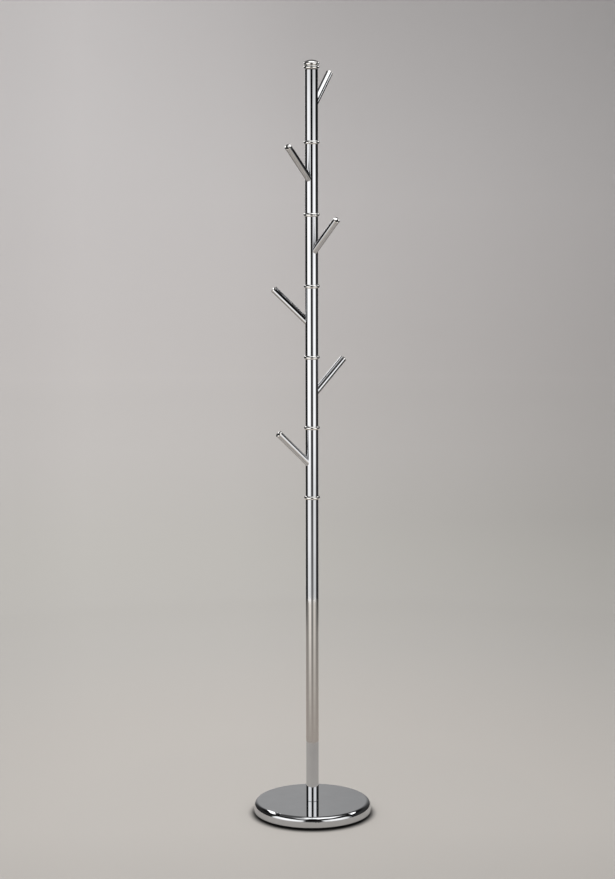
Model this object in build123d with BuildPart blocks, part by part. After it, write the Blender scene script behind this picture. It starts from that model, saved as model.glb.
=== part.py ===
from build123d import *
import os
from math import cos, radians, sin

# A standing coat rack: a tall chrome pole on a heavy round base. The upper pole is a stack of six
# equal sections, each with one slanted peg, and each free to turn about the pole's axis. A bead
# collar covers every joint of the stack, and one tie rod inside the pole holds it all together.
#
# Millimetres, +Z up. The origin is on the pole's axis at floor level, +X is to the right and +Y
# to the back. Sections, pegs and collars are numbered from the top down.

os.makedirs("parts", exist_ok=True)

# Base
base_radius = 140.0
base_top = 29.6  # height of the polished top above the floor
base_edge_radius = 12.0
shell_thickness = 1.5
shell_bottom = 5.2  # the shell's lower edge hangs clear of the floor
shell_lip_radius = 0.6

cover_bottom = 5.6
cover_thickness = 2.0
cover_edge_gap = 0.3
cover_hole_radius = 17.0  # lets a socket wrench reach the nut

foot_radius = 9.0
foot_seat_depth = 0.8
foot_seat_gap = 0.1
foot_circle = 118.0
foot_count = 6
foot_chamfer = 0.5

weight_radius = 131.0
weight_web_top = 19.3
weight_rim_inner = 104.0
weight_rim_outer = 126.0
weight_hub_radius = 42.0
weight_edge_chamfer = 3.0

nut_recess_radius = 15.0
nut_recess_top = 16.3

socket_flange_radius = 30.0
socket_flange_thickness = 4.0
socket_height = 36.0  # how far the spigot reaches into the lower tube
socket_gap = 0.05

screw_radius = 2.0
screw_head_radius = 3.8
screw_end = 17.3
screw_circle = 90.0
screw_count = 4
screw_gap = 0.05
screw_slot_width = 0.9
screw_slot_length = 4.4
screw_slot_depth = 1.2

# Pole
pole_radius = 15.0
pole_wall = 1.2
lower_tube_top = 765.0
section_count = 6
section_pitch = 165.25
pole_foot_rounding = 0.9  # outer edge of the lower tube where it stands on the base
tube_end_rounding = 0.3  # outer edges of every other tube end, inside the collars
turning_gap = 0.05  # end play between a section and the collar under it
running_gap = 0.08  # radial clearance of a turning fit

# Collars over the joints
collar_radius = 18.5
collar_half_height = 4.25
collar_web = 1.0  # inner rib that keeps two tube ends apart
collar_fit_gap = 0.07

# Nylon plugs, pressed into the top of one tube and turning inside the next
plug_grip = 24.0
plug_spigot = 18.0
plug_chamfer = 1.0

# Tie rod, with its nut, washer and long coupling nuts
rod_radius = 4.0
rod_bottom = 7.8
rod_joint_heights = [700.0, 1180.0]
rod_joint_gap = 0.5
rod_chamfer = 0.6
rod_hole_radius = 4.3
thread_gap = 0.05
nut_across_flats = 13.0
nut_height = 6.5
coupling_length = 24.0
washer_radius = 12.0
washer_thickness = 1.6

# Top cap
cap_bush_flange = 1.15
cap_bush_radius = 14.6
cap_bush_length = 20.0
cap_bead_half_height = 4.1
cap_stem_radius = 7.0
cap_stem_length = 6.0
cap_stem_gap = 0.1
cap_thread_depth = 4.5  # how far the rod's thread runs on above the stem
cap_dome_radius = 16.9
cap_dome_height = 4.3

# Pegs
peg_radius = 8.0
peg_wall = 1.2
peg_length = 125.5  # from the pole's axis to the tip
peg_lean = 46.5  # degrees from vertical
peg_height = 73.2  # of the peg's axis on the pole's axis, above the joint under it
peg_azimuths = [62.0, 233.0, -50.0, 171.0, 34.0, 210.0]  # from the top, counter-clockwise from +X
saddle_reach = 60.0

peg_cap_radius = 8.4
peg_cap_rim = 2.2
peg_cap_dome = 3.2
peg_cap_stem_radius = 6.7
peg_cap_stem_length = 12.0
peg_cap_edge_fillet = 0.3

# Heights and radii that follow from the driving dimensions
pole_bore = pole_radius - pole_wall
shell_inside_top = base_top - shell_thickness
shell_inside_radius = base_radius - shell_thickness
cover_top = cover_bottom + cover_thickness
weight_hub_top = shell_inside_top - socket_flange_thickness
section_length = section_pitch - collar_web - turning_gap
sections = range(1, section_count + 1)
cap_bush_top = lower_tube_top + section_count * section_pitch + turning_gap + cap_bush_flange
cap_ring_height = cap_bush_top + cap_bead_half_height
top_bead_height = cap_ring_height + 2 * cap_bead_half_height
rod_top = top_bead_height
peg_tube_end = peg_length - peg_cap_rim - peg_cap_dome


def joint_height(number):
    """Height of the top end of the tube under section `number`."""
    return lower_tube_top + (section_count - number) * section_pitch


def turning_plane(height):
    """Upright plane through the pole's axis: local x is the radius, local y = 0 is at `height`."""
    return Plane(origin=(0, 0, height), x_dir=(1, 0, 0), z_dir=(0, -1, 0))


def peg_direction(number):
    """Unit vector along the axis of peg `number`, from the pole to the tip."""
    lean = radians(peg_lean)
    azimuth = radians(peg_azimuths[number - 1])
    return Vector(sin(lean) * cos(azimuth), sin(lean) * sin(azimuth), cos(lean))


def peg_across(number):
    """Level unit vector square to peg `number`."""
    azimuth = radians(peg_azimuths[number - 1])
    return Vector(-sin(azimuth), cos(azimuth), 0)


def peg_root(number):
    """Point where the axis of peg `number` meets the pole's axis."""
    return Vector(0, 0, joint_height(number) + peg_height)


# ---------------------------------------------------------------------------
# Base
# ---------------------------------------------------------------------------

# Pressed shell: flat top, wide rounded edge and a straight wall, open underneath
with BuildPart() as base_cover:
    with BuildSketch(turning_plane(0)):
        with BuildLine():
            Polyline(
                (pole_bore, base_top),
                (pole_bore, shell_inside_top),
                (base_radius - base_edge_radius, shell_inside_top),
            )
            RadiusArc(
                (base_radius - base_edge_radius, shell_inside_top),
                (shell_inside_radius, base_top - base_edge_radius),
                base_edge_radius - shell_thickness,
            )
            Polyline(
                (shell_inside_radius, base_top - base_edge_radius),
                (shell_inside_radius, shell_bottom),
                (base_radius, shell_bottom),
                (base_radius, base_top - base_edge_radius),
            )
            RadiusArc(
                (base_radius, base_top - base_edge_radius),
                (base_radius - base_edge_radius, base_top),
                -base_edge_radius,
            )
            Line((base_radius - base_edge_radius, base_top), (pole_bore, base_top))
        make_face()
    revolve(axis=Axis.Z)
    lower_edges = base_cover.edges().filter_by(GeomType.CIRCLE).group_by(Axis.Z)[0]
    fillet(lower_edges.sort_by(SortBy.RADIUS)[-1], shell_lip_radius)
base_cover.part.label = "base_cover"
export_step(base_cover.part, "parts/base_cover.step")

# Cast ballast disc: a hub for the pole's socket and a rim that backs the shell's top
with BuildPart() as base_weight:
    with BuildSketch(Plane.XY.offset(cover_top)):
        Circle(weight_radius)
    extrude(amount=weight_web_top - cover_top)
    chamfer(base_weight.edges().group_by(Axis.Z)[-1], weight_edge_chamfer)
    with BuildSketch(Plane.XY.offset(weight_web_top)):
        Circle(weight_rim_outer)
        Circle(weight_rim_inner, mode=Mode.SUBTRACT)
    extrude(amount=shell_inside_top - weight_web_top)
    with BuildSketch(Plane.XY.offset(weight_web_top)):
        Circle(weight_hub_radius)
    extrude(amount=weight_hub_top - weight_web_top)
    with BuildSketch(Plane.XY.offset(cover_top)):
        Circle(nut_recess_radius)
    extrude(amount=nut_recess_top - cover_top, mode=Mode.SUBTRACT)
    with BuildSketch(Plane.XY.offset(nut_recess_top)):
        Circle(rod_hole_radius)
    extrude(amount=weight_hub_top - nut_recess_top, mode=Mode.SUBTRACT)
    with BuildSketch(Plane.XY.offset(cover_top)):
        with PolarLocations(screw_circle, screw_count):
            Circle(screw_radius + screw_gap)
    extrude(amount=screw_end + screw_gap - cover_top, mode=Mode.SUBTRACT)
base_weight.part.label = "base_weight"
export_step(base_weight.part, "parts/base_weight.step")

# Moulded cover that closes the base from below, with seats for the feet
with BuildPart() as base_bottom_cover:
    with BuildSketch(Plane.XY.offset(cover_bottom)):
        Circle(shell_inside_radius - cover_edge_gap)
        Circle(cover_hole_radius, mode=Mode.SUBTRACT)
    extrude(amount=cover_thickness)
    with BuildSketch(Plane.XY.offset(cover_bottom)):
        with PolarLocations(foot_circle, foot_count):
            Circle(foot_radius + foot_seat_gap)
    extrude(amount=foot_seat_depth, mode=Mode.SUBTRACT)
    with Locations(Plane(origin=(0, 0, cover_bottom), x_dir=(1, 0, 0), z_dir=(0, 0, -1))):
        with PolarLocations(screw_circle, screw_count):
            CounterSinkHole(
                screw_radius + screw_gap,
                screw_head_radius + screw_gap,
                counter_sink_angle=90,
            )
base_bottom_cover.part.label = "base_bottom_cover"
export_step(base_bottom_cover.part, "parts/base_bottom_cover.step")

# Rubber feet, one separate solid each
with BuildPart() as base_feet:
    with BuildSketch(Plane.XY):
        with PolarLocations(foot_circle, foot_count):
            Circle(foot_radius)
    extrude(amount=cover_bottom + foot_seat_depth)
    chamfer(base_feet.edges().group_by(Axis.Z)[0], foot_chamfer)
base_feet.part.label = "base_feet"
export_step(base_feet.part, "parts/base_feet.step")

# Countersunk screws that hold the bottom cover to the weight
with BuildPart() as base_screws:
    with BuildSketch(Plane.XY.offset(cover_bottom)):
        with PolarLocations(screw_circle, screw_count):
            Circle(screw_radius)
    extrude(amount=screw_end - cover_bottom)
    with PolarLocations(screw_circle, screw_count):
        with Locations(Pos(0, 0, cover_bottom)):
            Cone(
                screw_head_radius,
                screw_radius,
                screw_head_radius - screw_radius,
                align=(Align.CENTER, Align.CENTER, Align.MIN),
            )
    with BuildSketch(Plane.XY.offset(cover_bottom)):
        with PolarLocations(screw_circle, screw_count):
            Rectangle(screw_slot_length, screw_slot_width)
            Rectangle(screw_slot_width, screw_slot_length)
    extrude(amount=screw_slot_depth, mode=Mode.SUBTRACT)
base_screws.part.label = "base_screws"
export_step(base_screws.part, "parts/base_screws.step")

# Turned socket: a flange under the shell and a spigot that the lower tube slips over
with BuildPart() as pole_socket:
    with BuildSketch(Plane.XY.offset(weight_hub_top)):
        Circle(socket_flange_radius)
    extrude(amount=socket_flange_thickness)
    with BuildSketch(Plane.XY.offset(weight_hub_top)):
        Circle(pole_bore - socket_gap)
    extrude(amount=base_top + socket_height - weight_hub_top)
    chamfer(pole_socket.edges().group_by(Axis.Z)[-1], plug_chamfer)
    with BuildSketch(Plane.XY.offset(weight_hub_top)):
        Circle(rod_hole_radius)
    extrude(amount=base_top + socket_height - weight_hub_top, mode=Mode.SUBTRACT)
pole_socket.part.label = "pole_socket"
export_step(pole_socket.part, "parts/pole_socket.step")

# Washer and nut that pull the tie rod down into the base
with BuildPart() as base_washer:
    with BuildSketch(Plane.XY.offset(nut_recess_top - washer_thickness)):
        Circle(washer_radius)
        Circle(rod_hole_radius, mode=Mode.SUBTRACT)
    extrude(amount=washer_thickness)
base_washer.part.label = "base_washer"
export_step(base_washer.part, "parts/base_washer.step")


def hex_nut(name, bottom, height):
    """A hexagon nut on the tie rod."""
    with BuildPart() as nut:
        with BuildSketch(Plane.XY.offset(bottom)):
            RegularPolygon(nut_across_flats / 2, 6, major_radius=False)
            Circle(rod_radius + thread_gap, mode=Mode.SUBTRACT)
        extrude(amount=height)
    nut.part.label = name
    export_step(nut.part, f"parts/{name}.step")


hex_nut("base_nut", nut_recess_top - washer_thickness - nut_height, nut_height)

# ---------------------------------------------------------------------------
# Tie rod, in three lengths joined by long coupling nuts
# ---------------------------------------------------------------------------


def tie_rod(name, bottom, top):
    """One length of the tie rod."""
    with BuildPart() as rod:
        with BuildSketch(Plane.XY.offset(bottom)):
            Circle(rod_radius)
        extrude(amount=top - bottom)
        chamfer(rod.edges().filter_by(GeomType.CIRCLE), rod_chamfer)
    rod.part.label = name
    export_step(rod.part, f"parts/{name}.step")


rod_starts = [rod_bottom] + [height + rod_joint_gap for height in rod_joint_heights]
rod_ends = rod_joint_heights + [rod_top]
for place, start, end in zip(("lower", "middle", "upper"), rod_starts, rod_ends):
    tie_rod(f"tie_rod_{place}", start, end)
for place, height in zip(("lower", "upper"), rod_joint_heights):
    hex_nut(f"rod_coupling_{place}", height - coupling_length / 2, coupling_length)

# ---------------------------------------------------------------------------
# Pole: the lower tube, then the sections, with a plug and a collar at each joint
# ---------------------------------------------------------------------------


def pole_tube(name, bottom, length, foot_rounding=tube_end_rounding):
    """A plain length of the pole, with its outer edges rounded."""
    with BuildPart() as tube:
        with BuildSketch(Plane.XY.offset(bottom)):
            Circle(pole_radius)
            Circle(pole_bore, mode=Mode.SUBTRACT)
        extrude(amount=length)
        outer_edges = tube.edges().filter_by(GeomType.CIRCLE).group_by(SortBy.RADIUS)[-1]
        fillet(outer_edges.sort_by(Axis.Z)[0], foot_rounding)
        fillet(outer_edges.sort_by(Axis.Z)[-1], tube_end_rounding)
    tube.part.label = name
    export_step(tube.part, f"parts/{name}.step")


def joint_plug(name, joint):
    """Nylon plug: its lower part grips the tube below, its upper part runs in the tube above."""
    spigot_radius = pole_bore - running_gap
    with BuildPart() as plug:
        with BuildSketch(Plane.XY.offset(joint - plug_grip)):
            Circle(pole_bore)
        extrude(amount=plug_grip)
        with BuildSketch(Plane.XY.offset(joint)):
            Circle(spigot_radius)
        extrude(amount=collar_web + plug_spigot)
        ends = plug.edges().group_by(Axis.Z)
        chamfer(ends[0] + ends[-1], plug_chamfer)
        with BuildSketch(Plane.XY.offset(joint - plug_grip)):
            Circle(rod_hole_radius)
        extrude(amount=plug_grip + collar_web + plug_spigot, mode=Mode.SUBTRACT)
    plug.part.label = name
    export_step(plug.part, f"parts/{name}.step")


def collar(name, joint):
    """Half-round bead over a joint, with a thin rib inside between the two tube ends."""
    bore = pole_radius + collar_fit_gap
    rib_inner = pole_bore + socket_gap
    with BuildPart() as ring:
        with BuildSketch(turning_plane(joint + collar_web / 2)):
            with Locations((collar_radius - collar_half_height, 0)):
                Circle(collar_half_height)
            Rectangle(2 * bore, 2 * collar_half_height, mode=Mode.SUBTRACT)
            with Locations((rib_inner, 0)):
                Rectangle(
                    pole_radius + 2 * collar_fit_gap - rib_inner,
                    collar_web,
                    align=(Align.MIN, Align.CENTER),
                )
        revolve(axis=Axis.Z)
    ring.part.label = name
    export_step(ring.part, f"parts/{name}.step")


pole_tube("lower_tube", base_top, lower_tube_top - base_top, pole_foot_rounding)
joint_plug("lower_plug", joint_height(section_count))
for number in sections:
    collar(f"collar_{number}", joint_height(number))
    pole_tube(
        f"peg_section_{number}",
        joint_height(number) + collar_web + turning_gap,
        section_length,
    )
for number in sections[1:]:
    joint_plug(f"section_plug_{number}", joint_height(number - 1))

# ---------------------------------------------------------------------------
# Pegs: a slanted tube with a saddle-cut root, closed by a domed end cap
# ---------------------------------------------------------------------------


def peg(name, number):
    """Peg tube, cut to sit on the pole."""
    root = peg_root(number)
    with BuildPart() as arm:
        with BuildSketch(Plane(root, x_dir=peg_across(number), z_dir=peg_direction(number))):
            Circle(peg_radius)
            Circle(peg_radius - peg_wall, mode=Mode.SUBTRACT)
        extrude(amount=peg_tube_end)
        with BuildSketch(Plane.XY.offset(root.Z - saddle_reach)):
            Circle(pole_radius)
        extrude(amount=2 * saddle_reach, mode=Mode.SUBTRACT)
    arm.part.label = name
    export_step(arm.part, f"parts/{name}.step")


def peg_cap(name, number):
    """Solid end cap: a stem inside the peg, a rim a little wider than the peg, and a dome."""
    root = peg_root(number)
    direction = peg_direction(number)
    across = peg_across(number)
    shoulder = peg_tube_end + peg_cap_rim
    with BuildPart() as cap:
        with BuildSketch(Plane(root, x_dir=across, z_dir=across.cross(direction))):
            with BuildLine():
                Polyline(
                    (0, peg_length),
                    (0, peg_tube_end - peg_cap_stem_length),
                    (peg_cap_stem_radius, peg_tube_end - peg_cap_stem_length),
                    (peg_cap_stem_radius, peg_tube_end),
                    (peg_cap_radius, peg_tube_end),
                    (peg_cap_radius, shoulder),
                )
                TangentArc((0, peg_length), (peg_cap_radius, shoulder), tangent=(1, 0))
            make_face()
        revolve(axis=Axis(root, direction))
        full_circles = cap.edges().filter_by(lambda edge: edge.is_closed)
        fillet(full_circles.sort_by(SortBy.RADIUS)[-2:], peg_cap_edge_fillet)
    cap.part.label = name
    export_step(cap.part, f"parts/{name}.step")


for number in sections:
    peg(f"peg_{number}", number)
    peg_cap(f"peg_cap_{number}", number)

# ---------------------------------------------------------------------------
# Top cap: nylon bush, bead ring and domed cap nut
# ---------------------------------------------------------------------------

# Bush that the top section turns on, with a thin flange as a washer under the cap
with BuildPart() as cap_bush:
    with BuildSketch(Plane.XY.offset(cap_bush_top - cap_bush_flange)):
        Circle(cap_bush_radius)
    extrude(amount=cap_bush_flange)
    with BuildSketch(Plane.XY.offset(cap_bush_top)):
        Circle(pole_bore - running_gap)
    extrude(amount=-cap_bush_length)
    chamfer(cap_bush.edges().group_by(Axis.Z)[0], plug_chamfer)
    with BuildSketch(Plane.XY.offset(cap_bush_top)):
        Circle(rod_hole_radius)
    extrude(amount=-cap_bush_length, mode=Mode.SUBTRACT)
cap_bush.part.label = "cap_bush"
export_step(cap_bush.part, "parts/cap_bush.step")

# Lower bead of the cap
with BuildPart() as cap_ring:
    with BuildSketch(turning_plane(cap_ring_height)):
        with Locations((collar_radius - cap_bead_half_height, 0)):
            Circle(cap_bead_half_height)
        with Locations((cap_stem_radius, 0)):
            Rectangle(
                collar_radius - cap_bead_half_height - cap_stem_radius,
                2 * cap_bead_half_height,
                align=(Align.MIN, Align.CENTER),
            )
        Rectangle(
            2 * (cap_stem_radius + cap_stem_gap),
            2 * cap_bead_half_height,
            mode=Mode.SUBTRACT,
        )
    revolve(axis=Axis.Z)
cap_ring.part.label = "cap_ring"
export_step(cap_ring.part, "parts/cap_ring.step")

# Upper bead with its low dome, and a threaded stem that screws onto the tie rod
bead_centre_radius = collar_radius - cap_bead_half_height
dome_foot = (cap_bead_half_height**2 - (cap_dome_radius - bead_centre_radius) ** 2) ** 0.5
cap_apex = cap_bead_half_height + cap_dome_height
with BuildPart() as top_cap:
    with BuildSketch(turning_plane(top_bead_height)):
        with BuildLine():
            Polyline(
                (0, cap_apex),
                (0, -cap_bead_half_height),
                (bead_centre_radius, -cap_bead_half_height),
            )
            ThreePointArc(
                (bead_centre_radius, -cap_bead_half_height),
                (collar_radius, 0),
                (cap_dome_radius, dome_foot),
            )
            TangentArc((0, cap_apex), (cap_dome_radius, dome_foot), tangent=(1, 0))
        make_face()
    revolve(axis=Axis.Z)
    with BuildSketch(Plane.XY.offset(top_bead_height - cap_bead_half_height)):
        Circle(cap_stem_radius)
    extrude(amount=-cap_stem_length)
    with BuildSketch(Plane.XY.offset(top_bead_height - cap_bead_half_height - cap_stem_length)):
        Circle(rod_radius + thread_gap)
    extrude(amount=cap_stem_length + cap_thread_depth, mode=Mode.SUBTRACT)
top_cap.part.label = "top_cap"
export_step(top_cap.part, "parts/top_cap.step")
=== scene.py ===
import math

import bpy
from mathutils import Matrix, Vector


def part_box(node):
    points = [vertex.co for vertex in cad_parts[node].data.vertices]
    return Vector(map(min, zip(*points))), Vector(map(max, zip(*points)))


# The looks of a standing coat rack: a stack of turning chrome sections with slanted pegs on a
# polished round base, on a plain pale floor between two tall softboxes.
#
# Metres, +Z up. The pole's axis is the Z axis, and -Y is the front.

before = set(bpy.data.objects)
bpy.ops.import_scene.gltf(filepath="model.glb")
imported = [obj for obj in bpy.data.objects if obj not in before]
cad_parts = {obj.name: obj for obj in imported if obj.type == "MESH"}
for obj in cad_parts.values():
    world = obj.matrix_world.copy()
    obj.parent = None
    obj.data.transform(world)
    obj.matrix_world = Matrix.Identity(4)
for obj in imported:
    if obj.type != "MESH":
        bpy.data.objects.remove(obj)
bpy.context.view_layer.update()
base_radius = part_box("base_cover")[1].x


# ---------------------------------------------------------------------------
# Node helpers
# ---------------------------------------------------------------------------


def add_node(tree, kind, inputs=None, **settings):
    """A new node with its settings, and with its inputs given as values or linked sockets."""
    made = tree.nodes.new(kind)
    for key, value in settings.items():
        setattr(made, key, value)
    for key, value in (inputs or {}).items():
        if isinstance(value, bpy.types.NodeSocket):
            tree.links.new(value, made.inputs[key])
        else:
            made.inputs[key].default_value = value
    return made


def new_material(name):
    """A material with a Principled shader, and its node tree and shader."""
    material = bpy.data.materials.new(name)
    material.use_nodes = True
    tree = material.node_tree
    return material, tree, tree.nodes["Principled BSDF"]


def axes(tree, vector):
    """X, Y and Z of a vector."""
    return add_node(tree, "ShaderNodeSeparateXYZ", {"Vector": vector}).outputs


def position(tree, stretch=(1, 1, 1)):
    """Object coordinates in metres, stretched along each axis."""
    place = add_node(tree, "ShaderNodeTexCoord").outputs["Object"]
    return add_node(tree, "ShaderNodeMapping", {"Vector": place, "Scale": stretch}).outputs[0]


def noise(tree, vector, scale, detail=2.0, roughness=0.5):
    """Noise value, from 0 to 1, with its middle at 0.5."""
    inputs = {"Vector": vector, "Scale": scale, "Detail": detail, "Roughness": roughness}
    return add_node(tree, "ShaderNodeTexNoise", inputs).outputs["Fac"]


def ramp(tree, factor, stops, interpolation="LINEAR"):
    """Colour ramp: stops are (place, grey or colour)."""
    made = add_node(tree, "ShaderNodeValToRGB", {"Fac": factor})
    made.color_ramp.interpolation = interpolation
    elements = made.color_ramp.elements
    while len(elements) < len(stops):
        elements.new(1.0)
    for element, (place, colour) in zip(elements, stops):
        element.position = place
        grey = isinstance(colour, (int, float))
        element.color = (colour, colour, colour, 1) if grey else (*colour, 1)
    return made.outputs["Color"]


def span(tree, value, low, high, start=0.0, end=1.0, kind="LINEAR"):
    """The value moved from the range low..high to start..end."""
    inputs = {"Value": value, "From Min": low, "From Max": high, "To Min": start, "To Max": end}
    return add_node(tree, "ShaderNodeMapRange", inputs, interpolation_type=kind).outputs["Result"]


def maths(tree, operation, first, second):
    """One step of arithmetic."""
    return add_node(tree, "ShaderNodeMath", {0: first, 1: second}, operation=operation).outputs[0]


def mix_colours(tree, blend, share, first, second):
    """The first colour mixed with the second by the second's share."""
    inputs = {0: share, 6: first, 7: second}
    return add_node(tree, "ShaderNodeMix", inputs, data_type="RGBA", blend_type=blend).outputs[2]


def bump(tree, height, strength, distance):
    """Surface relief from a height between 0 and 1."""
    inputs = {"Height": height, "Strength": strength, "Distance": distance}
    return add_node(tree, "ShaderNodeBump", inputs).outputs["Normal"]


# ---------------------------------------------------------------------------
# Materials
# ---------------------------------------------------------------------------


def chrome(name, dull, bright):
    """Chrome plate over polished steel, with faint smears and polishing marks."""
    material, tree, shader = new_material(name)
    place = position(tree)
    smears = noise(tree, place, 28.0, 4.0, 0.6)
    haze = noise(tree, place, 420.0, 2.0, 0.5)
    lines = noise(tree, position(tree, (260.0, 260.0, 9.0)), 4.0, 3.0, 0.6)
    tree.links.new(
        ramp(tree, smears, [(0.3, dull), (0.7, bright)]),
        shader.inputs["Base Color"],
    )
    polish = span(tree, smears, 0.35, 0.75, 0.025, 0.05)
    rough = maths(tree, "ADD", polish, maths(tree, "MULTIPLY", haze, 0.012))
    tree.links.new(rough, shader.inputs["Roughness"])
    tree.links.new(bump(tree, lines, 0.02, 0.00005), shader.inputs["Normal"])
    shader.inputs["Metallic"].default_value = 1.0
    return material


def cast_iron():
    """Painted sand casting."""
    material, tree, shader = new_material("cast_iron_paint")
    place = position(tree)
    grain = noise(tree, place, 900.0, 4.0, 0.6)
    patches = noise(tree, place, 35.0, 3.0, 0.55)
    tree.links.new(
        ramp(tree, patches, [(0.3, (0.022, 0.023, 0.025)), (0.75, (0.05, 0.05, 0.052))]),
        shader.inputs["Base Color"],
    )
    tree.links.new(span(tree, grain, 0.3, 0.7, 0.5, 0.78), shader.inputs["Roughness"])
    tree.links.new(bump(tree, grain, 0.6, 0.0004), shader.inputs["Normal"])
    return material


def black_plastic():
    """Moulded plastic with a fine spark-eroded grain."""
    material, tree, shader = new_material("moulded_plastic")
    place = position(tree)
    grain = noise(tree, place, 1400.0, 2.0, 0.5)
    scuffs = noise(tree, place, 60.0, 5.0, 0.65)
    tree.links.new(
        ramp(tree, scuffs, [(0.35, (0.014, 0.014, 0.015)), (0.8, (0.04, 0.04, 0.041))]),
        shader.inputs["Base Color"],
    )
    tree.links.new(span(tree, scuffs, 0.3, 0.8, 0.42, 0.62), shader.inputs["Roughness"])
    tree.links.new(bump(tree, grain, 0.35, 0.00012), shader.inputs["Normal"])
    return material


def rubber():
    """Dusty rubber."""
    material, tree, shader = new_material("foot_rubber")
    place = position(tree)
    dust = noise(tree, place, 150.0, 5.0, 0.7)
    grain = noise(tree, place, 2200.0, 2.0, 0.5)
    tree.links.new(
        ramp(tree, dust, [(0.35, (0.018, 0.018, 0.018)), (0.8, (0.07, 0.068, 0.064))]),
        shader.inputs["Base Color"],
    )
    tree.links.new(span(tree, dust, 0.3, 0.8, 0.7, 0.92), shader.inputs["Roughness"])
    tree.links.new(bump(tree, grain, 0.3, 0.00015), shader.inputs["Normal"])
    return material


def nylon():
    """Turned black nylon, with fine lathe rings."""
    material, tree, shader = new_material("turned_nylon")
    place = position(tree)
    cloud = noise(tree, place, 80.0, 3.0, 0.5)
    rings = add_node(
        tree,
        "ShaderNodeTexWave",
        {"Vector": place, "Scale": 420.0, "Distortion": 0.4},
        wave_type="BANDS",
        bands_direction="Z",
    ).outputs["Fac"]
    tree.links.new(
        ramp(tree, cloud, [(0.3, (0.026, 0.026, 0.028)), (0.75, (0.045, 0.045, 0.048))]),
        shader.inputs["Base Color"],
    )
    tree.links.new(span(tree, cloud, 0.3, 0.7, 0.32, 0.46), shader.inputs["Roughness"])
    tree.links.new(bump(tree, rings, 0.15, 0.00006), shader.inputs["Normal"])
    return material


def zinc_steel():
    """Zinc-plated steel, clear passivated, with a faint grain."""
    material, tree, shader = new_material("zinc_plate")
    place = position(tree)
    cloud = noise(tree, place, 160.0, 4.0, 0.6)
    grain = noise(tree, place, 2500.0, 2.0, 0.5)
    tree.links.new(
        ramp(tree, cloud, [(0.3, (0.5, 0.51, 0.53)), (0.75, (0.63, 0.63, 0.61))]),
        shader.inputs["Base Color"],
    )
    tree.links.new(span(tree, cloud, 0.3, 0.75, 0.26, 0.42), shader.inputs["Roughness"])
    tree.links.new(bump(tree, grain, 0.2, 0.00005), shader.inputs["Normal"])
    shader.inputs["Metallic"].default_value = 1.0
    return material


finishes = {
    "chrome": chrome("chrome_plate", (0.565, 0.57, 0.582), (0.595, 0.6, 0.612)),
    "cast_iron": cast_iron(),
    "black_plastic": black_plastic(),
    "rubber": rubber(),
    "nylon": nylon(),
    "zinc_steel": zinc_steel(),
}
turned_chrome = chrome("chrome_on_turned_parts", (0.8, 0.79, 0.77), (0.84, 0.83, 0.81))
turned_parts = ("collar_", "cap_ring", "top_cap", "peg_cap_")
for name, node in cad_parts.items():
    for material_slot in node.material_slots:
        finish = finishes[material_slot.material.name]
        material_slot.material = turned_chrome if name.startswith(turned_parts) else finish


# ---------------------------------------------------------------------------
# Stage: one seamless surface, flat underfoot and curved up into a round backdrop
# ---------------------------------------------------------------------------

floor_radius = 8.5
wall_radius = 12.0
wall_height = 6.5


def surface(name, points, faces, marks, material):
    """A smooth stage surface, with one UV mark for each point."""
    mesh = bpy.data.meshes.new(name)
    mesh.from_pydata(points, [], faces)
    mesh.polygons.foreach_set("use_smooth", [True] * len(faces))
    layer = mesh.uv_layers.new(name="marks")
    for loop in mesh.loops:
        layer.data[loop.index].uv = marks[loop.vertex_index]
    made = bpy.data.objects.new(name, mesh)
    bpy.context.scene.collection.objects.link(made)
    made.data.materials.append(material)
    return made


def arc_surface(name, radii, heights, shares, material, start=-180.0, end=180.0, steps=96):
    """A profile carried round Z from the start angle to the end angle, in degrees from -Y towards
    +X. Its heights change evenly from heights[0] to heights[1] on the way. The marks run along
    the arc and by the profile's shares."""
    count = len(radii)
    points = []
    marks = []
    for i in range(steps + 1):
        part = i / steps
        angle = math.radians(start + (end - start) * part)
        for radius, first, last, share in zip(radii, *heights, shares):
            height = first + (last - first) * part
            points.append((radius * math.sin(angle), -radius * math.cos(angle), height))
            marks.append((part, share))
    faces = [
        (i * count + j, (i + 1) * count + j, (i + 1) * count + j + 1, i * count + j + 1)
        for i in range(steps)
        for j in range(count - 1)
    ]
    return surface(name, points, faces, marks, material)


def turned_surface(name, profile, material):
    """A profile of (radius, height) points turned about Z; the second mark is the share of the
    profile's length."""
    radii = [radius for radius, _ in profile]
    heights = [height for _, height in profile]
    lengths = [0.0]
    for (r0, z0), (r1, z1) in zip(profile, profile[1:]):
        lengths.append(lengths[-1] + math.hypot(r1 - r0, z1 - z0))
    shares = [length / lengths[-1] for length in lengths]
    return arc_surface(name, radii, (heights, heights), shares, material)


def arc_panel(name, material, start, end, lows, highs, radius):
    """Upright curved panel; lows and highs are its edge heights at the start and end angles."""
    heights = ((lows[0], highs[0]), (lows[1], highs[1]))
    return arc_surface(name, (radius, radius), heights, (0.0, 1.0), material, start, end, 24)


def level_panel(name, material, x_range, y_range, height):
    """Level rectangular panel; its marks run along X and Y."""
    (x0, x1), (y0, y1) = x_range, y_range
    points = [(x0, y0, height), (x1, y0, height), (x1, y1, height), (x0, y1, height)]
    return surface(name, points, [(0, 1, 2, 3)], [(0, 0), (1, 0), (1, 1), (0, 1)], material)


def surface_marks(tree):
    """A stage surface's marks, where X runs along its arc and Y up its profile."""
    return axes(tree, add_node(tree, "ShaderNodeTexCoord").outputs["UV"])


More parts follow.
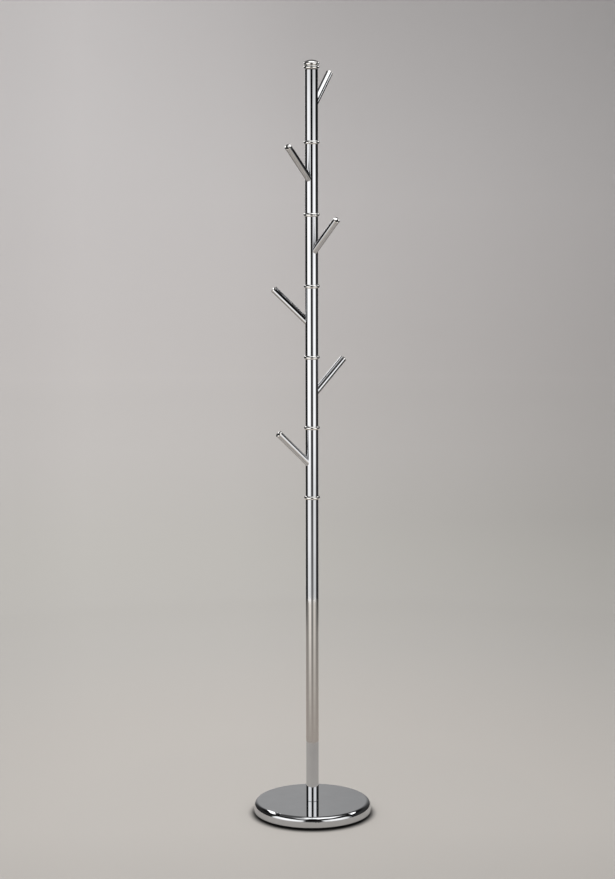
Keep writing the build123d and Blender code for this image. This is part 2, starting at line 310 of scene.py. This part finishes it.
# The paper's tones, with painted light: across, from left to right, a painted falloff of the light to
# the right, and along, from underfoot to the wall's top, the paper's warm colour with painted light
# and shade.
# The ones across fan out from a point well in front of the rack.
fan_distance = 5.3
painted_side_light_tones = [
    (0.0, 0.96),
    (0.11, 1.0),
    (0.25, 0.98),
    (0.37, 0.96),
    (0.5, 0.9),
    (0.66, 0.83),
    (0.76, 0.79),
    (0.9, 0.725),
    (1.0, 0.68),
]
paper_colour_and_painted_light_tones = [
    (0.0, (0.585, 0.559, 0.529)),
    (0.06, (0.576, 0.553, 0.527)),
    (0.1, (0.572, 0.557, 0.535)),
    (0.188, (0.617, 0.605, 0.577)),
    (0.33, (0.682, 0.663, 0.648)),
    (0.45, (0.713, 0.693, 0.681)),
    (0.5, (0.742, 0.721, 0.711)),
    (0.56, (0.738, 0.717, 0.71)),
    (0.63, (0.757, 0.737, 0.736)),
    (0.69, (0.785, 0.77, 0.773)),
    (0.8, (0.79, 0.777, 0.783)),
    (1.0, (0.76, 0.747, 0.753)),
]


def backdrop_paper_and_painted_light():
    """Pale warm matt paper, with painted light and shade: darker to the right and above, and a
    painted shadow round the base.
    """
    material, tree, shader = new_material("backdrop_paper_and_painted_light")
    place = position(tree)
    parts = axes(tree, place)
    across, along = parts["X"], parts["Y"]
    reach = surface_marks(tree)["Y"]

    depth = maths(tree, "MAXIMUM", maths(tree, "ADD", along, fan_distance), 2.0)
    bearing = maths(tree, "DIVIDE", across, depth)
    # Painted light: the paper darker towards the right, more so further back
    painted_side_light = ramp(tree, span(tree, bearing, -0.13, 0.13), painted_side_light_tones)
    share = span(tree, along, 0.0, 3.8, 0.28, 1.0)
    painted_side_light = mix_colours(tree, "MIX", share, (1, 1, 1, 1), painted_side_light)
    # The paper's warm colour, with painted light and shade from underfoot to the wall's top
    colour = mix_colours(tree, "MULTIPLY", 1.0, painted_side_light, ramp(tree, reach, paper_colour_and_painted_light_tones))

    # Painted shade: a faint one high on the right, a fainter one in front, and a deep painted contact
    # shadow round the base
    painted_upper_shade = span(tree, reach, 0.655, 0.765, 0.0, 0.15)
    painted_upper_shade = maths(tree, "MULTIPLY", painted_upper_shade, span(tree, bearing, -0.1, 0.0))
    # Painted shade on the paper in front of the rack
    front = span(tree, along, -0.15, -0.45, 0.0, 0.05)
    # The painted contact shadow round the base, reaching further out in front
    middle = {0: place, 1: (0.0, -0.006, 0.0)}
    radius = add_node(tree, "ShaderNodeVectorMath", middle, operation="DISTANCE").outputs["Value"]
    inner, outer = base_radius - 0.008, base_radius + 0.017
    painted_contact_shadow = span(tree, radius, inner, outer, 0.04, 1.0, kind="SMOOTHSTEP")
    painted_shade = maths(tree, "SUBTRACT", 1.0, maths(tree, "ADD", painted_upper_shade, front))
    painted_shade = maths(tree, "MULTIPLY", painted_shade, painted_contact_shadow)
    colour = mix_colours(tree, "MULTIPLY", 1.0, colour, painted_shade)
    tree.links.new(colour, shader.inputs["Base Color"])

    fibre = noise(tree, place, 500.0, 3.0, 0.6)
    tree.links.new(bump(tree, fibre, 0.1, 0.0002), shader.inputs["Normal"])
    shader.inputs["Roughness"].default_value = 0.9
    shader.inputs["Specular IOR Level"].default_value = 0.2
    return material


cove_steps = 16
cove_rise = wall_radius - floor_radius
cove = [
    (
        floor_radius + cove_rise * math.sin(math.pi / 2 * i / cove_steps),
        cove_rise * (1 - math.cos(math.pi / 2 * i / cove_steps)),
    )
    for i in range(cove_steps + 1)
]
floor_rings = [(0.0, 0.0), (0.5, 0.0), (1.5, 0.0), (4.0, 0.0)]
turned_surface("backdrop", floor_rings + cove + [(wall_radius, wall_height)], backdrop_paper_and_painted_light())


# ---------------------------------------------------------------------------
# Studio that the polished metal mirrors: softboxes in front of black screens
# ---------------------------------------------------------------------------

screen_radius = 2.32
panel_radius = 2.3
ceiling_height = 3.4
mirrored_floor_start = 0.6
mirrored_floor_height = 0.004


def show_only_to(thing, shown):
    """Hide a stage surface from every kind of ray but one."""
    for ray in ("camera", "diffuse", "glossy", "transmission", "volume_scatter", "shadow"):
        setattr(thing, f"visible_{ray}", ray == shown)


def glow_material(name):
    """A material that only gives light, its node tree and its light."""
    material = bpy.data.materials.new(name)
    material.use_nodes = True
    tree = material.node_tree
    tree.nodes.clear()
    glow = add_node(tree, "ShaderNodeEmission", {"Color": (1, 1, 1, 1)})
    add_node(tree, "ShaderNodeOutputMaterial", {"Surface": glow.outputs[0]})
    return material, tree, glow


def soft_panel(name, level, across, upward):
    """Light over whatever is behind the panel; across and upward are its shares of the level."""
    material, tree, glow = glow_material(name)
    marks = surface_marks(tree)
    strength = level
    for axis, shares in (("X", across), ("Y", upward)):
        share = ramp(tree, marks[axis], shares, "EASE")
        strength = maths(tree, "MULTIPLY", strength, share)
    tree.links.new(strength, glow.inputs["Strength"])
    clear = add_node(tree, "ShaderNodeBsdfTransparent")
    both = add_node(tree, "ShaderNodeAddShader", {0: glow.outputs[0], 1: clear.outputs[0]})
    tree.links.new(both.outputs[0], tree.nodes["Material Output"].inputs["Surface"])
    return material


def round_levels(tree, levels):
    """Grey level by the angle round the rack, in degrees from -Y towards +X."""
    parts = axes(tree, position(tree))
    front = maths(tree, "MULTIPLY", parts["Y"], -1.0)
    angle = maths(tree, "ARCTAN2", parts["X"], front)
    turn = span(tree, angle, -math.pi, math.pi)
    return ramp(tree, turn, [(degrees / 360 + 0.5, level) for degrees, level in levels])


def screen_wall():
    """Black screens at the sides and front, lit at the foot between the softboxes, and the grey
    backdrop behind, darker higher up."""
    material, tree, glow = glow_material("screen_wall")
    low = round_levels(
        tree,
        [
            (-180, 0.43),
            (-168, 0.43),
            (-160, 0.3),
            (-150, 0.07),
            (-138, 0.03),
            (0, 0.02),
            (85, 0.03),
            (110, 0.05),
            (135, 0.04),
            (148, 0.06),
            (159, 0.14),
            (167, 0.26),
            (174, 0.38),
            (180, 0.43),
        ],
    )
    height = axes(tree, position(tree))["Z"]
    fade = span(tree, height, 1.1, 1.7, 1.0, 0.3, kind="SMOOTHSTEP")
    foot = round_levels(tree, [(-24, 0), (-10, 0.24), (10, 0.24), (24, 0)])
    foot = maths(tree, "MULTIPLY", foot, span(tree, height, 0.0, 0.5, 1.0, 0.0))
    strength = maths(tree, "ADD", maths(tree, "MULTIPLY", low, fade), foot)
    tree.links.new(strength, glow.inputs["Strength"])
    return material


def screen_floor():
    """The pale warm floor as the metal mirrors it, with painted reflections of the softboxes and
    screens on it further out.
    """
    material, tree, glow = glow_material("screen_floor")
    # Painted reflections of the softboxes and screens in the floor, by the angle round the rack
    painted_far_reflections = round_levels(
        tree,
        [
            (-180, 0.5),
            (-155, 0.44),
            (-130, 0.32),
            (-80, 0.34),
            (-62, 0.85),
            (-45, 1.2),
            (-20, 1.05),
            (-12, 0.26),
            (8, 0.26),
            (18, 0.65),
            (45, 1.0),
            (65, 0.6),
            (80, 0.28),
            (110, 0.24),
            (150, 0.42),
            (180, 0.5),
        ],
    )
    outward = surface_marks(tree)["Y"]
    edge = round_levels(tree, [(-105, 0.3), (-88, 1.0), (88, 1.0), (105, 0.3)])
    painted_far_reflections = mix_colours(tree, "MULTIPLY", span(tree, outward, 0.7, 1.0), painted_far_reflections, edge)
    warmth = (1.06, 0.99, 0.9, 1)
    painted_far_reflections = mix_colours(tree, "MULTIPLY", 1.0, painted_far_reflections, warmth)
    near = (0.515, 0.455, 0.4, 1)
    colour = mix_colours(tree, "MIX", span(tree, outward, 0.0, 0.85), near, painted_far_reflections)
    tree.links.new(colour, glow.inputs["Color"])
    return material


def screen_ceiling():
    """Dark ceiling, a little lighter at the back."""
    material, tree, glow = glow_material("screen_ceiling")
    level = round_levels(tree, [(-180, 0.12), (0, 0.06), (180, 0.12)])
    tree.links.new(level, glow.inputs["Strength"])
    return material


wall_profile = [(screen_radius, 0.0), (screen_radius, ceiling_height)]
floor_profile = [
    (mirrored_floor_start, mirrored_floor_height),
    (screen_radius, mirrored_floor_height),
]
ceiling_profile = [(0.01, ceiling_height), (screen_radius, ceiling_height)]
turned = [
    turned_surface("screen_wall", wall_profile, screen_wall()),
    turned_surface("screen_floor", floor_profile, screen_floor()),
    turned_surface("screen_ceiling", ceiling_profile, screen_ceiling()),
]

# Shares of a panel's level from one edge to the other
hump = [(0.0, 0.0), (0.25, 1.0), (0.75, 1.0), (1.0, 0.0)]
plateau = [(0.0, 0.0), (0.15, 1.0), (0.85, 1.0), (1.0, 0.0)]
split = [(0.0, 0.0), (0.2, 1.0), (0.4, 1.0), (0.5, 0.0), (0.7, 0.0), (0.8, 0.9), (1.0, 0.0)]

# Level, start and end angles, heights of the low and high edges at both angles, and the shares of
# the level along the arc and upward
arcs = {
    "softbox_left": (
        1.8,
        (-86, -12),
        ((0.0, 0.0), (1.9, 1.9)),
        [(0.0, 0.0), (0.12, 0.85), (0.4, 1.0), (0.68, 0.92), (0.86, 0.78), (1.0, 0.0)],
        [(0.0, 0.66), (0.15, 0.8), (0.35, 1.0), (0.72, 1.0), (0.86, 0.88), (0.93, 0.75), (1.0, 0.0)],
    ),
    "softbox_right": (
        1.75,
        (15, 82),
        ((0.0, 0.0), (1.87, 1.87)),
        [(0.0, 0.0), (0.165, 0.75), (0.35, 0.92), (0.54, 1.0), (0.8, 0.82), (0.93, 0.25), (1.0, 0.0)],
        [(0.0, 0.55), (0.15, 0.7), (0.35, 0.97), (0.76, 1.0), (0.88, 0.72), (0.95, 0.6), (1.0, 0.0)],
    ),
    "strip_back_left": (
        2.2,
        (-174, -146),
        ((1.1, 2.05), (1.5, 2.75)),
        [(0.0, 0.0), (0.15, 1.0), (1.0, 1.0)],
        plateau,
    ),
    "strip_left": (
        2.2,
        (-146, -112),
        ((2.05, 2.25), (2.75, 2.95)),
        [(0.0, 1.0), (0.7, 1.0), (1.0, 0.0)],
        plateau,
    ),
    "strip_right": (2.8, (102, 148), ((1.95, 2.2), (2.5, 2.9)), plateau, plateau),
}
panels = [
    arc_panel(name, soft_panel(name, level, across, upward), *angles, *heights, panel_radius)
    for name, (level, angles, heights, across, upward) in arcs.items()
]

# Level, extents along X and Y, height, and the shares of the level along X
flats = {
    "overhead_panel": (1.9, (-0.6, 1.75), (-1.1, 1.3), ceiling_height - 0.1, plateau),
    "ceiling_glow": (0.8, (-1.5, 1.0), (-2.3, 0.4), ceiling_height - 0.05, split),
}
panels += [
    level_panel(name, soft_panel(name, level, across, hump), x_range, y_range, height)
    for name, (level, x_range, y_range, height, across) in flats.items()
]
for thing in turned + panels:
    show_only_to(thing, "glossy")

# The dark front of the studio, which keeps low light out of the gap under the base
front_radius = 4.0
front_height = 2.2
dark_paint, _, dark_glow = glow_material("dark_front")
dark_glow.inputs["Strength"].default_value = 0.02
lows, highs = (0.0, 0.0), (front_height, front_height)
front_screen = arc_panel("front_screen", dark_paint, -120, 120, lows, highs, front_radius)
show_only_to(front_screen, "diffuse")


# ---------------------------------------------------------------------------
# Light
# ---------------------------------------------------------------------------

world = bpy.data.worlds.new("studio")
world.use_nodes = True
background = world.node_tree.nodes["Background"]
background.inputs["Color"].default_value = (1.0, 0.985, 0.97, 1)
background.inputs["Strength"].default_value = 0.95
bpy.context.scene.world = world

# A soft square light right above the rack, shining down
lamp_data = bpy.data.lights.new("overhead", "AREA")
lamp_data.shape = "SQUARE"
lamp_data.size = 2.2
lamp_data.energy = 25
lamp = bpy.data.objects.new("overhead", lamp_data)
lamp.location = (0, 0, ceiling_height)
lamp.visible_glossy = False
lamp.visible_camera = False
bpy.context.scene.collection.objects.link(lamp)


# ---------------------------------------------------------------------------
# Camera
# ---------------------------------------------------------------------------

# Metres and degrees: in front of the rack, at the height of its top, looking a little down
camera_height = 1.7028
camera_distance = 5.258
camera_tilt = 8.654
camera_turn = 0.113
camera_roll = -0.11

camera_data = bpy.data.cameras.new("camera")
camera_data.lens = 93.2
camera_data.sensor_width = 36.0
camera = bpy.data.objects.new("camera", camera_data)
bpy.context.scene.collection.objects.link(camera)
camera.matrix_world = (
    Matrix.Translation((0, -camera_distance, camera_height))
    @ Matrix.Rotation(math.radians(camera_turn), 4, "Z")
    @ Matrix.Rotation(math.radians(90 - camera_tilt), 4, "X")
    @ Matrix.Rotation(math.radians(camera_roll), 4, "Z")
)
bpy.context.scene.camera = camera
bpy.context.scene.view_settings.view_transform = "Standard"
